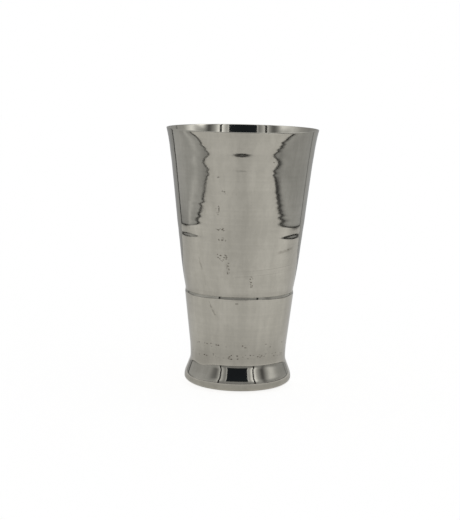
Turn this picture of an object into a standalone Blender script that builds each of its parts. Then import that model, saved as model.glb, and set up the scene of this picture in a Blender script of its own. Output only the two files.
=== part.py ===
"""Steel lassi glass: a deep-drawn tumbler held in a spun foot sleeve that a rolled-in base plate closes."""

import math

import bmesh
import bpy

# Driving dimensions, in metres and radians, with +Z up and the glass standing on z = 0.

# The tumbler, from the mouth down to the joint line.
HEIGHT = 0.152
MOUTH_RADIUS = 0.0447
TUMBLER_SHEET = 0.0006
FLARE_DEPTH = 0.0012
FLARE_LENGTH = 0.024
SWAGE_DEPTH = 0.00078
SWAGE_LENGTH = 0.019

# The joggle that takes the tumbler's wall inside the sleeve, above and below the sleeve's top edge.
NECK_RISE = 0.0015
JOGGLE_LENGTH = 0.0011
JOINT_GAP = 0.0003

# The tumbler's hidden floor, measured up from the waist.
FLOOR_RISE = 0.0025
FLOOR_CORNER_RADIUS = 0.004

# The sleeve, from its top edge down to the waist.
SLEEVE_TOP = 0.0567
SLEEVE_SHEET = 0.0006
SLEEVE_TAPER = 0.1165
LIP_TURN = 0.0003
LIP_LENGTH = 0.0025
LIP_EDGE = 0.0002
WAIST_HEIGHT = 0.0175
WAIST_RADIUS = 0.028
WAIST_BLEND = 0.0075

# The foot, from its widest ring down to the edge rolled in under the base.
FOOT_HEIGHT = 0.0055
FOOT_RADIUS = 0.0316
STAND_RADIUS = 0.02345
HEM_WIDTH = 0.0035

# The base plate and its raised middle panel.
PLATE_SHEET = 0.0006
PLATE_RIM_ANGLE = math.radians(35)
PANEL_RADIUS = 0.0155
PANEL_STEP = 0.003
PANEL_RISE = 0.0012

# The ring weld under the tumbler's floor corner.
WELD_RADIUS = 0.0008

# Facets, and the distance within which a turned outline's points on the axis become one.
SEGMENTS = 48
WELD_SIDES = 8
CURVE_POINTS = 6
LIP_POINTS = 4
AXIS_MERGE = 0.00001


def spread(start, end, count):
    """Evenly spaced values from start to end, both included."""
    return [start + (end - start) * i / (count - 1) for i in range(count)]


def ease(t):
    """Rise from 0 to 1 with level ends."""
    return t * t * (3 - 2 * t)


def sleeve_outside(z):
    """Outer radius of the sleeve at a height above the foot's widest ring."""
    if z < WAIST_HEIGHT:
        t = (WAIST_HEIGHT - z) / (WAIST_HEIGHT - FOOT_HEIGHT)
        return WAIST_RADIUS + (FOOT_RADIUS - WAIST_RADIUS) * ease(t)
    rise = z - WAIST_HEIGHT
    if rise < WAIST_BLEND:
        return WAIST_RADIUS + SLEEVE_TAPER * rise * rise / (2 * WAIST_BLEND)
    turn = max(0.0, z - SLEEVE_TOP + LIP_LENGTH) / LIP_LENGTH
    return WAIST_RADIUS + SLEEVE_TAPER * (rise - WAIST_BLEND / 2) - LIP_TURN * turn * turn


def tumbler_outside(z):
    """Outer radius of the tumbler: flared mouth, straight taper, swaged neck, joggle and sleeved wall."""
    joggle_foot = SLEEVE_TOP - JOGGLE_LENGTH
    neck_height = SLEEVE_TOP + NECK_RISE
    neck_radius = sleeve_outside(SLEEVE_TOP)
    edge_radius = neck_radius - LIP_EDGE - JOINT_GAP
    if z <= joggle_foot:
        return sleeve_outside(z) - SLEEVE_SHEET - JOINT_GAP
    if z <= SLEEVE_TOP:
        slip_radius = tumbler_outside(joggle_foot)
        return slip_radius + (edge_radius - slip_radius) * (z - joggle_foot) / JOGGLE_LENGTH
    if z < neck_height:
        return edge_radius + (neck_radius - edge_radius) * (z - SLEEVE_TOP) / NECK_RISE
    low = neck_radius + SWAGE_DEPTH
    high = MOUTH_RADIUS - FLARE_DEPTH
    straight = low + (high - low) * (z - neck_height) / (HEIGHT - neck_height)
    flare = max(0.0, z - HEIGHT + FLARE_LENGTH) / FLARE_LENGTH
    swage = max(0.0, neck_height + SWAGE_LENGTH - z) / SWAGE_LENGTH
    return straight + FLARE_DEPTH * flare * flare - SWAGE_DEPTH * swage * swage


def lap_heights():
    """Heights, top down, where the lapped walls of the tumbler and the sleeve bend."""
    bends = spread(SLEEVE_TOP, SLEEVE_TOP - LIP_LENGTH, LIP_POINTS)
    bends += [SLEEVE_TOP - JOGGLE_LENGTH, WAIST_HEIGHT + WAIST_BLEND]
    return sorted(bends, reverse=True)


def floor_corner_centre():
    """Centre of the arc between the tumbler's lower wall and its floor, on its outer side."""
    tilt = math.atan(SLEEVE_TAPER)
    height = WAIST_HEIGHT + FLOOR_RISE + FLOOR_CORNER_RADIUS
    touch = height - FLOOR_CORNER_RADIUS * math.sin(tilt)
    return tumbler_outside(touch) - FLOOR_CORNER_RADIUS * math.cos(tilt), height


def rolled_edge(angle):
    """Point on the outside of the foot's rolled edge, from 0 at the widest ring to a quarter turn below."""
    return (STAND_RADIUS + (FOOT_RADIUS - STAND_RADIUS) * math.cos(angle),
            FOOT_HEIGHT - FOOT_HEIGHT * math.sin(angle))


def offset_inward(outline, distance):
    """Shift an outline of (radius, height) points, running down an outer wall, to its sheet's inner face."""
    shifted = []
    for i, (radius, height) in enumerate(outline):
        before = outline[max(i - 1, 0)]
        after = outline[min(i + 1, len(outline) - 1)]
        along = (after[0] - before[0], after[1] - before[1])
        length = math.hypot(*along)
        shifted.append((radius + distance * along[1] / length, height - distance * along[0] / length))
    return shifted


def half_round(start, end, count):
    """Points of the half circle that joins a sheet's two faces over its edge, without the end points."""
    middle = ((start[0] + end[0]) / 2, (start[1] + end[1]) / 2)
    reach = (start[0] - middle[0], start[1] - middle[1])
    points = []
    for angle in spread(0, math.pi, count + 2)[1:-1]:
        along, across = math.cos(angle), math.sin(angle)
        points.append((middle[0] + reach[0] * along + reach[1] * across,
                       middle[1] + reach[1] * along - reach[0] * across))
    return points


def turned(name, outline, closed, material):
    """Spin an outline of (radius, height) points round the Z axis into one solid."""
    mesh = bpy.data.meshes.new(name)
    form = bmesh.new()
    corners = [form.verts.new((max(radius, 0.0), 0.0, height)) for radius, height in outline]
    for first, second in zip(corners, corners[1:]):
        form.edges.new((first, second))
    if closed:
        form.edges.new((corners[-1], corners[0]))
    form.to_mesh(mesh)
    form.free()
    piece = bpy.data.objects.new(name, mesh)
    collection.objects.link(piece)
    spin = piece.modifiers.new("Spin", "SCREW")
    spin.axis = "Z"
    spin.angle = 2 * math.pi
    spin.steps = SEGMENTS
    spin.render_steps = SEGMENTS
    spin.use_merge_vertices = True
    spin.merge_threshold = AXIS_MERGE
    spin.use_smooth_shade = True
    mesh.materials.append(material)


def steel(name, colour, roughness):
    """A plain steel finish."""
    material = bpy.data.materials.new(name)
    material.use_nodes = True
    shader = material.node_tree.nodes["Principled BSDF"]
    shader.inputs["Base Color"].default_value = (*colour, 1.0)
    shader.inputs["Metallic"].default_value = 1.0
    shader.inputs["Roughness"].default_value = roughness
    return material


def make_tumbler():
    """The vessel in one sheet: its outline runs up the inside, over the lip, down and under the floor."""
    mouth_slope = (tumbler_outside(HEIGHT) - tumbler_outside(HEIGHT - TUMBLER_SHEET)) / TUMBLER_SHEET
    lip_drop = TUMBLER_SHEET / 2 * (1 + math.sin(math.atan(mouth_slope)))
    neck_height = SLEEVE_TOP + NECK_RISE
    heights = spread(HEIGHT - lip_drop, HEIGHT - FLARE_LENGTH, CURVE_POINTS)
    heights += spread(neck_height + SWAGE_LENGTH, neck_height, CURVE_POINTS)
    heights += lap_heights()
    centre = floor_corner_centre()
    outside = [(tumbler_outside(z), z) for z in heights if z > centre[1]]
    for angle in spread(math.atan(SLEEVE_TAPER), math.pi / 2, CURVE_POINTS):
        outside.append((centre[0] + FLOOR_CORNER_RADIUS * math.cos(angle),
                        centre[1] - FLOOR_CORNER_RADIUS * math.sin(angle)))
    outside.append((0.0, centre[1] - FLOOR_CORNER_RADIUS))
    inside = offset_inward(outside, TUMBLER_SHEET)
    lip = half_round(inside[0], outside[0], CURVE_POINTS - 1)
    turned("tumbler", inside[::-1] + lip + outside, False,
           steel("polished_steel", (0.56, 0.54, 0.50), 0.10))


def make_foot_sleeve():
    """The outer lower wall: it thins to a fine edge at the joint line and ends in a flat hem below."""
    upper = lap_heights() + spread(WAIST_HEIGHT + WAIST_BLEND, WAIST_HEIGHT, CURVE_POINTS)[1:]
    lower = [(sleeve_outside(z), z) for z in spread(WAIST_HEIGHT, FOOT_HEIGHT, 2 * CURVE_POINTS)]
    lower += [rolled_edge(angle) for angle in spread(0, math.pi / 2, CURVE_POINTS + 2)[1:]]
    lower.append((STAND_RADIUS - HEM_WIDTH, 0.0))
    outside = [(sleeve_outside(z), z) for z in upper] + lower[1:]
    inside = [(tumbler_outside(z) + JOINT_GAP, z) for z in upper] + offset_inward(lower, SLEEVE_SHEET)[1:]
    turned("foot_sleeve", outside + inside[::-1], True,
           steel("polished_steel_foot", (0.55, 0.53, 0.49), 0.10))


def make_base_plate():
    """The disc that closes the foot: its rim nests in the rolled edge and its middle is a raised panel."""
    rim = [rolled_edge(angle) for angle in spread(PLATE_RIM_ANGLE, math.pi / 2, CURVE_POINTS)]
    run = rim + [(PANEL_RADIUS + PANEL_STEP, 0.0), (0.0, 0.0)]
    faces = []
    for depth in (SLEEVE_SHEET + JOINT_GAP, SLEEVE_SHEET + JOINT_GAP + PLATE_SHEET):
        face = offset_inward(run, depth)[:-1]
        for t in spread(0, 1, CURVE_POINTS)[1:]:
            face.append((PANEL_RADIUS + PANEL_STEP * (1 - t), depth + PANEL_RISE * ease(t)))
        face.append((0.0, depth + PANEL_RISE))
        faces.append(face)
    below, above = faces
    turned("base_plate", above[::-1] + below, False,
           steel("satin_steel_base", (0.52, 0.51, 0.48), 0.28))


def make_floor_weld():
    """The bead between the tumbler's floor corner and the sleeve's waist, clear of both by the joint gap."""
    centre = floor_corner_centre()
    ring_radius = WAIST_RADIUS - SLEEVE_SHEET - JOINT_GAP - WELD_RADIUS
    reach = FLOOR_CORNER_RADIUS + JOINT_GAP + WELD_RADIUS
    drop = math.sqrt(reach * reach - (ring_radius - centre[0]) ** 2)
    bpy.ops.mesh.primitive_torus_add(major_radius=ring_radius, minor_radius=WELD_RADIUS,
                                     major_segments=SEGMENTS, minor_segments=WELD_SIDES,
                                     location=(0, 0, centre[1] - drop))
    bead = bpy.context.object
    bead.name = "floor_weld"
    bead.data.name = "floor_weld"
    bead.data.shade_smooth()
    bead.data.materials.append(steel("weld_steel", (0.30, 0.29, 0.28), 0.45))
    bead.users_collection[0].objects.unlink(bead)
    collection.objects.link(bead)


for leftover in list(bpy.data.objects):
    bpy.data.objects.remove(leftover, do_unlink=True)

collection = bpy.data.collections.new("steel_lassi_glass")
bpy.context.scene.collection.children.link(collection)

make_tumbler()
make_foot_sleeve()
make_base_plate()
make_floor_weld()
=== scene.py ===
"""Looks of a steel lassi glass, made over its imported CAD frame.

It holds the finely turned walls and their steel finishes, the light tent that they reflect, and the camera.
"""

import math
import random

import bmesh
import bpy
from mathutils import Euler, Matrix


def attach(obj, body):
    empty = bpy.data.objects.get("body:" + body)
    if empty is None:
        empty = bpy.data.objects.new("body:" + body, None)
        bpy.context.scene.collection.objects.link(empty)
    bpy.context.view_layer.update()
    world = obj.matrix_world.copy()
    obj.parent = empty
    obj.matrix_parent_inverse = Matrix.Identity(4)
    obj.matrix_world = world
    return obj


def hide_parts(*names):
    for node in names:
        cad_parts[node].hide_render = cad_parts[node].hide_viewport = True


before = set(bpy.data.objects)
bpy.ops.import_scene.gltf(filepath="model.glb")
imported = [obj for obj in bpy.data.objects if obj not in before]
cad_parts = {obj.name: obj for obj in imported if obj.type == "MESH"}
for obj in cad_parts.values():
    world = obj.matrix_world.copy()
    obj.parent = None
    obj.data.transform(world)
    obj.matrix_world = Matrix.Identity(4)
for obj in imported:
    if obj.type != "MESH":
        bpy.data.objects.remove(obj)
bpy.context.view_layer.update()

# Foot sleeve
# The outer lower wall: a cone of thin stainless steel, spun in to a waist and out again to the foot.
# Its top edge is burnished in against the tumbler, its bottom edge is rolled in under the base plate,
# and the whole is buffed bright while it turns.

SLEEVE_TOP = 0.0567
SLEEVE_SHEET = 0.0006
SLEEVE_TAPER = 0.1165
LIP_SLOPE = 0.2125
LIP_LENGTH = 0.0028
LIP_ROUND = 0.0020
LIP_EDGE = 0.00008
WAIST_HEIGHT = 0.0172
WAIST_RADIUS = 0.0282
WAIST_BLEND = 0.0084
WAIST_BEND = 0.0030
WAIST_RUN_OUT = 0.0008
WAIST_DIP = (-0.84, 0.17, 0.0015)
RUN_OUT_TOP = 0.034
FOOT_HEIGHT = 0.0047
FOOT_BEND = 0.0040
FOOT_RADIUS = 0.03165
ROLL_HEIGHT = 0.0046
STAND_RADIUS = 0.0222
HEM_WIDTH = 0.0022
JOGGLE_LENGTH = 0.0011

SPIN_STEPS = 160
WALL_STEP = 0.0004
ROUND_STEP = 0.06
AXIS_MERGE = 0.000002

# The metal and its wear, the same for both walls.
STEEL_COLOUR = (0.622, 0.595, 0.521)
DULL_STEEL_COLOUR = (0.500, 0.478, 0.416)
RING_WAVER = 9
RING_SHARE = 0.22
HAZE = {"patches": 70, "upright": 0.6}
HAZE_SHARE = 0.4
HAZE_ROUGHNESS = 0.03
SMEARS = {"patches": 150, "upright": 0.12}
SMEAR_SHARE = 0.5
BLOTCHES = {"patches": 360, "upright": 0.8}
BLOTCH_SHARE = 0.25
# Brown of the pits, also mixed in for the scratches, marks and darkened bands, and for a painted dark
# reflection.
PIT_AND_SHADE_COLOUR = (0.09, 0.07, 0.05)
PIT_FLATNESS = 1.6
PIT_RAGGEDNESS = 0.0012
PIT_SIZES = (0.32, 0.67)
PIT_HEART = 0.1
PIT_FAINTEST = 0.5
PIT_STRENGTH = 0.9
PIT_ROUGHNESS = 0.25
PIT_DEPTH = 0.00003
SCRATCH_EDGE = (0.13, 0.05)
SCRATCH_STRENGTH = 0.22
SCRATCH_ROUGHNESS = 0.12
SCRATCH_DEPTH = 0.000004
MARK_WAVER = 4

# A faint glow from the second reflection on stands for the light that many more of them bring deep inside.
LATE_REFLECTION = 1.5
LATE_GLOW = 0.28

# The foot's own finish, worn spots and a darkened band. Turns are in radians from the front towards +X,
# slants in radians from upright, and sizes in metres. A share is how many of a field's places hold a pit or
# a scratch.
# A lone mark has its strength first.
FOOT_ROUGHNESS = 0.05
FOOT_RINGS = (800, 0.0000006)
FOOT_PITS = [
    {"turn_reach": 9, "height": 0.0272, "height_reach": 0.0014, "share": 0.06},
    {"turn": -0.6, "turn_reach": 0.45, "height": 0.0272, "height_reach": 0.0014, "share": 0.35},
    {"turn_reach": 9, "height": 0.0212, "height_reach": 0.0014, "share": 0.2},
    {"turn": -0.05, "turn_reach": 0.25, "height": 0.0209, "height_reach": 0.0016, "share": 0.5},
    {"turn": 0.5, "turn_reach": 0.14, "height": 0.0214, "height_reach": 0.0011, "share": 0.9},
]
# A band round the waist, darkened unevenly: its height, reach and strength.
FOOT_DARK_BANDS = [(0.0160, 0.0095, 0.135)]
FOOT_SCRATCHES = [
    {"slant": -0.35, "length": 0.05, "width": 0.0016, "share": 0.012},
    {"turn": -0.55, "turn_reach": 0.09, "height": 0.0495, "height_reach": 0.008,
     "slant": -0.39, "length": 0.03, "width": 0.0016, "share": 0.35},
]
FOOT_MARKS = [
    (0.40, {"turn": -0.535, "height": 0.0506, "slant": -0.39, "length": 0.0034, "width": 0.0007}),
    (0.34, {"turn": -0.465, "height": 0.0468, "slant": -0.47, "length": 0.0030, "width": 0.0007}),
    (0.45, {"turn": -0.04, "height": 0.0529, "slant": 1.57, "length": 0.0011, "width": 0.0007,
            "broken": 0}),
    (0.07, {"turn": 1.05, "height": 0.0405, "slant": -0.1, "length": 0.011, "width": 0.0045,
            "broken": 0.3}),
]


def ease(t):
    """Rise from 0 to 1 with level ends, and stay level outside them."""
    t = min(max(t, 0.0), 1.0)
    return t * t * (3 - 2 * t)


def spread(start, end, step):
    """Evenly spaced values from start to end, both included, about a step apart."""
    count = max(1, round(abs(end - start) / step))
    return [start + (end - start) * i / count for i in range(count + 1)]


def foot_flare(drop):
    """Outer radius at a drop below the waist: a straight cone, bent at the waist and at the foot."""
    length = WAIST_HEIGHT - FOOT_HEIGHT
    slope = (FOOT_RADIUS - WAIST_RADIUS) / (length - (WAIST_BEND + FOOT_BEND) / 2)
    if drop < WAIST_BEND:
        return WAIST_RADIUS + slope * drop * drop / (2 * WAIST_BEND)
    left = length - drop
    if left < FOOT_BEND:
        return FOOT_RADIUS - slope * left * left / (2 * FOOT_BEND)
    return WAIST_RADIUS + slope * (drop - WAIST_BEND / 2)


def sleeve_outside(z):
    """Outer radius of the sleeve at a height above its rolled edge."""
    if z < FOOT_HEIGHT:
        return FOOT_RADIUS
    if z < WAIST_HEIGHT:
        return foot_flare(WAIST_HEIGHT - z)
    rise = z - WAIST_HEIGHT
    if rise < WAIST_BLEND:
        return WAIST_RADIUS + SLEEVE_TAPER * rise * rise / (2 * WAIST_BLEND)
    radius = WAIST_RADIUS + SLEEVE_TAPER * (rise - WAIST_BLEND / 2)
    lip = max(0.0, z - SLEEVE_TOP + LIP_LENGTH)
    if lip < LIP_ROUND:
        return radius - LIP_SLOPE * lip * lip / (2 * LIP_ROUND)
    return radius - LIP_SLOPE * (lip - LIP_ROUND / 2)


def rolled_edge(angle):
    """Point on the outside of the rolled edge, from angle 0 at its top to a quarter turn at the floor."""
    return (STAND_RADIUS + (FOOT_RADIUS - STAND_RADIUS) * math.cos(angle),
            ROLL_HEIGHT - ROLL_HEIGHT * math.sin(angle))


def offset_inward(outline, distance):
    """Shift (radius, height) points that run down an outer wall to its sheet's inner face."""
    shifted = []
    for i, (radius, height) in enumerate(outline):
        before = outline[max(i - 1, 0)]
        after = outline[min(i + 1, len(outline) - 1)]
        along = (after[0] - before[0], after[1] - before[1])
        length = math.hypot(*along)
        shifted.append((radius + distance * along[1] / length, height - distance * along[0] / length))
    return shifted


def spun_piece(name, outline, closed, steps=SPIN_STEPS):
    """Turn an outline of (radius, height) points round the Z axis into one smooth piece."""
    form = bmesh.new()
    corners = [form.verts.new((max(radius, 0.0), 0.0, height)) for radius, height in outline]
    edges = [form.edges.new(pair) for pair in zip(corners, corners[1:])]
    if closed:
        edges.append(form.edges.new((corners[-1], corners[0])))
    bmesh.ops.spin(form, geom=corners + edges, cent=(0, 0, 0), axis=(0, 0, 1), angle=2 * math.pi,
                   steps=steps, use_merge=True)
    bmesh.ops.remove_doubles(form, verts=form.verts, dist=AXIS_MERGE)
    bmesh.ops.recalc_face_normals(form, faces=form.faces)
    for face in form.faces:
        face.smooth = True
    mesh = bpy.data.meshes.new(name)
    form.to_mesh(mesh)
    form.free()
    piece = bpy.data.objects.new(name, mesh)
    bpy.context.scene.collection.objects.link(piece)
    return piece


def reshape(piece, rule):
    """Move each point of a turned piece to the radius and height that a rule gives for its place.

    The rule takes the angle round from the front, towards +X, then the radius and the height.
    """
    for point in piece.data.vertices:
        x, y, z = point.co
        radius = math.hypot(x, y)
        if radius > AXIS_MERGE:
            moved, height = rule(math.atan2(x, -y), radius, z)
            point.co = (x * moved / radius, y * moved / radius, height)


def lay(tree, kind, inputs=(), **settings):
    """Add a node with its settings, and set or link its inputs from (socket, value or output) pairs."""
    node = tree.nodes.new("ShaderNode" + kind)
    for name, value in settings.items():
        setattr(node, name, value)
    for socket, value in inputs:
        if isinstance(value, bpy.types.NodeSocket):
            tree.links.new(value, node.inputs[socket])
        else:
            node.inputs[socket].default_value = value
    return node


def reckon(tree, operation, *values):
    """Output of a Math node on values or outputs."""
    return lay(tree, "Math", enumerate(values), operation=operation).outputs[0]


def between(tree, value, low, high):
    """Smooth rise of a value from 0 at low to 1 at high; it falls instead where low is above high."""
    inputs = [("Value", value), ("From Min", low), ("From Max", high)]
    return lay(tree, "MapRange", inputs, interpolation_type="SMOOTHSTEP").outputs["Result"]


def mixed(tree, share, first, second):
    """Colour between two colours or outputs, the Mix node's sockets 6 and 7, by a share from 0 to 1."""
    return lay(tree, "Mix", [(0, share), (6, first), (7, second)], data_type="RGBA").outputs[2]


def finish_group(name, inputs, output):
    """Start a shader node group with float inputs, given as (name, value) pairs, and one float output."""
    tree = bpy.data.node_groups.new(name, "ShaderNodeTree")
    for socket_name, value in inputs:
        socket = tree.interface.new_socket(socket_name, in_out="INPUT", socket_type="NodeSocketFloat")
        socket.default_value = value
    tree.interface.new_socket(output, in_out="OUTPUT", socket_type="NodeSocketFloat")
    entry = tree.nodes.new("NodeGroupInput")
    leave = tree.nodes.new("NodeGroupOutput")
    place = lay(tree, "SeparateXYZ", [(0, tree.nodes.new("ShaderNodeTexCoord").outputs["Object"])])
    return tree, entry.outputs, leave.inputs[output], place.outputs


def turn_and_radius(tree, x, y):
    """Angle round the glass from its front, and distance from its axis."""
    turn = reckon(tree, "ARCTAN2", x, reckon(tree, "MULTIPLY", y, -1))
    radius = reckon(tree, "SQRT", reckon(tree, "MULTIPLY_ADD", x, x, reckon(tree, "MULTIPLY", y, y)))
    return turn, radius


def make_buffing_rings():
    """Fine rings that the buffing wheel leaves, up a wall or, with Across at 1, outwards on a disc."""
    tree, inputs, output, (x, y, z) = finish_group(
        "buffing_rings", [("Rings", 900), ("Waver", 9), ("Across", 0)], "Height")
    radius = turn_and_radius(tree, x, y)[1]
    along = reckon(tree, "MULTIPLY_ADD", reckon(tree, "SUBTRACT", radius, z), inputs["Across"], z)
    ring_place = lay(tree, "CombineXYZ", [
        (0, reckon(tree, "MULTIPLY", x, inputs["Waver"])),
        (1, reckon(tree, "MULTIPLY", y, inputs["Waver"])),
        (2, reckon(tree, "MULTIPLY", along, inputs["Rings"]))])
    noise = lay(tree, "TexNoise", [("Vector", ring_place.outputs[0]), ("Scale", 1.0), ("Detail", 2.5),
                                   ("Roughness", 0.62)])
    tree.links.new(between(tree, noise.outputs["Fac"], 0.25, 0.75), output)
    return tree


def make_handling_haze():
    """Cloudy patches where hands and washing have dulled the polish a little."""
    tree, inputs, output, (x, y, z) = finish_group(
        "handling_haze", [("Patches", 60), ("Upright", 0.6)], "Haze")
    upright = reckon(tree, "MULTIPLY", z, inputs["Upright"])
    patch_place = lay(tree, "CombineXYZ", [(0, x), (1, y), (2, upright)])
    noise = lay(tree, "TexNoise", [("Vector", patch_place.outputs[0]), ("Scale", inputs["Patches"]),
                                   ("Detail", 5.0), ("Roughness", 0.65), ("Distortion", 0.4)])
    tree.links.new(between(tree, noise.outputs["Fac"], 0.3, 0.7), output)
    return tree


SPOT_INPUTS = [("Turn", 0), ("Turn Reach", 10), ("Height", 0), ("Height Reach", 10)]


def reaches_off(tree, value, middle, reach):
    """How many reaches a value lies from a middle."""
    return reckon(tree, "DIVIDE", reckon(tree, "SUBTRACT", value, middle), reach)


def spot(tree, inputs, turn, z):
    """Soft field about one angle round the glass and one height."""
    aside = reaches_off(tree, turn, inputs["Turn"], inputs["Turn Reach"])
    above = reaches_off(tree, z, inputs["Height"], inputs["Height Reach"])
    off = reckon(tree, "MULTIPLY_ADD", aside, aside, reckon(tree, "MULTIPLY", above, above))
    return between(tree, off, 1.0, 0.4)


def along_and_across(tree, girth, rise, slant):
    """Distances along and across a line on the wall, laid flat, that leans from upright by a slant."""
    lean = reckon(tree, "SINE", slant)
    stand = reckon(tree, "COSINE", slant)
    along = reckon(tree, "MULTIPLY_ADD", girth, lean, reckon(tree, "MULTIPLY", rise, stand))
    across = reckon(tree, "SUBTRACT", reckon(tree, "MULTIPLY", girth, stand),
                    reckon(tree, "MULTIPLY", rise, lean))
    return along, across


def make_pit_specks():
    """Small pits, wider than they are tall, gathered about one angle round the glass and one height."""
    tree, inputs, output, (x, y, z) = finish_group(
        "pit_specks", SPOT_INPUTS + [("Pits", 620), ("Share", 0.3)], "Mask")
    turn, radius = turn_and_radius(tree, x, y)
    field = reckon(tree, "MULTIPLY", spot(tree, inputs, turn, z), inputs["Share"])
    girth = reckon(tree, "MULTIPLY", turn, radius)
    height = reckon(tree, "MULTIPLY", z, PIT_FLATNESS)
    pit_place = lay(tree, "CombineXYZ", [(0, girth), (1, height)]).outputs[0]
    noise = lay(tree, "TexNoise", [("Vector", pit_place), ("Scale", 1700), ("Detail", 1.0)])
    ragged = [(0, noise.outputs["Color"]), (1, (PIT_RAGGEDNESS, PIT_RAGGEDNESS, 0)), (2, pit_place)]
    pit_place = lay(tree, "VectorMath", ragged, operation="MULTIPLY_ADD").outputs[0]
    cells = lay(tree, "TexVoronoi", [("Vector", pit_place), ("Scale", inputs["Pits"])],
                voronoi_dimensions="2D")
    chance = lay(tree, "SeparateColor", [("Color", cells.outputs["Color"])]).outputs
    chosen = reckon(tree, "LESS_THAN", chance["Red"], field)
    smallest, largest = PIT_SIZES
    size = reckon(tree, "MULTIPLY_ADD", chance["Green"], largest - smallest, smallest)
    speck = between(tree, cells.outputs["Distance"], size, PIT_HEART)
    depth = reckon(tree, "MULTIPLY_ADD", chance["Blue"], 1 - PIT_FAINTEST, PIT_FAINTEST)
    tree.links.new(reckon(tree, "MULTIPLY", reckon(tree, "MULTIPLY", speck, depth), chosen), output)
    return tree


def make_hand_scratches():
    """Fine straight scratches at one slant from upright, about a quarter of Length and of Width in size."""
    tree, inputs, output, (x, y, z) = finish_group(
        "hand_scratches",
        SPOT_INPUTS + [("Slant", 0), ("Length", 0.06), ("Width", 0.0016), ("Share", 0.1)], "Mask")
    turn, radius = turn_and_radius(tree, x, y)
    girth = reckon(tree, "MULTIPLY", turn, radius)
    along, across = along_and_across(tree, girth, z, inputs["Slant"])
    scratch_place = lay(tree, "CombineXYZ", [
        (0, reckon(tree, "DIVIDE", across, inputs["Width"])),
        (1, reckon(tree, "DIVIDE", along, inputs["Length"]))])
    cells = lay(tree, "TexVoronoi", [("Vector", scratch_place.outputs[0]), ("Scale", 1.0)],
                voronoi_dimensions="2D")
    chance = lay(tree, "SeparateColor", [("Color", cells.outputs["Color"])]).outputs["Green"]
    field = reckon(tree, "MULTIPLY", spot(tree, inputs, turn, z), inputs["Share"])
    line = between(tree, cells.outputs["Distance"], *SCRATCH_EDGE)
    tree.links.new(reckon(tree, "MULTIPLY", line, reckon(tree, "LESS_THAN", chance, field)), output)
    return tree


def make_lone_marks():
    """One scratch, smear or painted dark streak at an angle round the glass and a height, with half its
    length and width.

    Broken is 0 for an even mark, and 1 for one that wavers and skips.
    """
    tree, inputs, output, (x, y, z) = finish_group(
        "lone_marks", [("Turn", 0), ("Height", 0), ("Slant", 0), ("Length", 0.004), ("Width", 0.0006),
                       ("Broken", 1)], "Mask")
    turn, radius = turn_and_radius(tree, x, y)
    girth = reckon(tree, "MULTIPLY", reckon(tree, "SUBTRACT", turn, inputs["Turn"]), radius)
    rise = reckon(tree, "SUBTRACT", z, inputs["Height"])
    along, across = along_and_across(tree, girth, rise, inputs["Slant"])
    here = tree.nodes["Texture Coordinate"].outputs["Object"]
    noise = lay(tree, "TexNoise", [("Vector", here), ("Scale", 420), ("Detail", 2.0)]).outputs["Fac"]
    sway = reckon(tree, "MULTIPLY", inputs["Broken"], MARK_WAVER)
    waver = reckon(tree, "MULTIPLY", reckon(tree, "SUBTRACT", noise, 0.5), sway)
    side = reckon(tree, "ADD", reckon(tree, "DIVIDE", across, inputs["Width"]), waver)
    side = between(tree, reckon(tree, "ABSOLUTE", side), 1.0, 0.2)
    end = reckon(tree, "ABSOLUTE", reckon(tree, "DIVIDE", along, inputs["Length"]))
    mark = reckon(tree, "MULTIPLY", side, between(tree, end, 1.0, 0.6))
    gaps = reckon(tree, "MULTIPLY", between(tree, noise, 0.6, 0.35), inputs["Broken"])
    tree.links.new(reckon(tree, "MULTIPLY", mark, reckon(tree, "SUBTRACT", 1, gaps)), output)
    return tree


def make_darkened_band():
    """A band round the glass, darkened unevenly, strongest at one height."""
    tree, inputs, output, (x, y, z) = finish_group("darkened_band", [("Height", 0), ("Reach", 0.005)], "Mask")
    off = reaches_off(tree, z, inputs["Height"], inputs["Reach"])
    here = tree.nodes["Texture Coordinate"].outputs["Object"]
    noise = lay(tree, "TexNoise", [("Vector", here), ("Scale", 130), ("Detail", 3.0)]).outputs["Fac"]
    uneven = lay(tree, "MapRange", [("Value", noise), ("From Min", 0.3), ("From Max", 0.7),
                                    ("To Min", 0.7)])
    band = between(tree, reckon(tree, "MULTIPLY", off, off), 1.0, 0.0)
    tree.links.new(reckon(tree, "MULTIPLY", band, uneven.outputs["Result"]), output)
    return tree


buffing_rings = make_buffing_rings()
handling_haze = make_handling_haze()
pit_specks = make_pit_specks()
hand_scratches = make_hand_scratches()
lone_marks = make_lone_marks()
darkened_band = make_darkened_band()


def finish(tree, group, **values):
    """Place a finish group with its own values, named for its inputs, and give its output."""
    node = tree.nodes.new("ShaderNodeGroup")
    node.node_tree = group
    for name, value in values.items():
        node.inputs[name.replace("_", " ").title()].default_value = value
    return node.outputs[0]


def strongest(tree, masks):
    """The strongest of several masks."""
    result = masks[0]
    for mask in masks[1:]:
        result = reckon(tree, "MAXIMUM", result, mask)
    return result


def bumped(tree, height, depth, normal=None):
    """Normal of a surface that rises by a depth in metres where a height is 1."""
    inputs = [("Height", height), ("Distance", depth)]
    if normal:
        inputs.append(("Normal", normal))
    return lay(tree, "Bump", inputs).outputs["Normal"]


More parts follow.
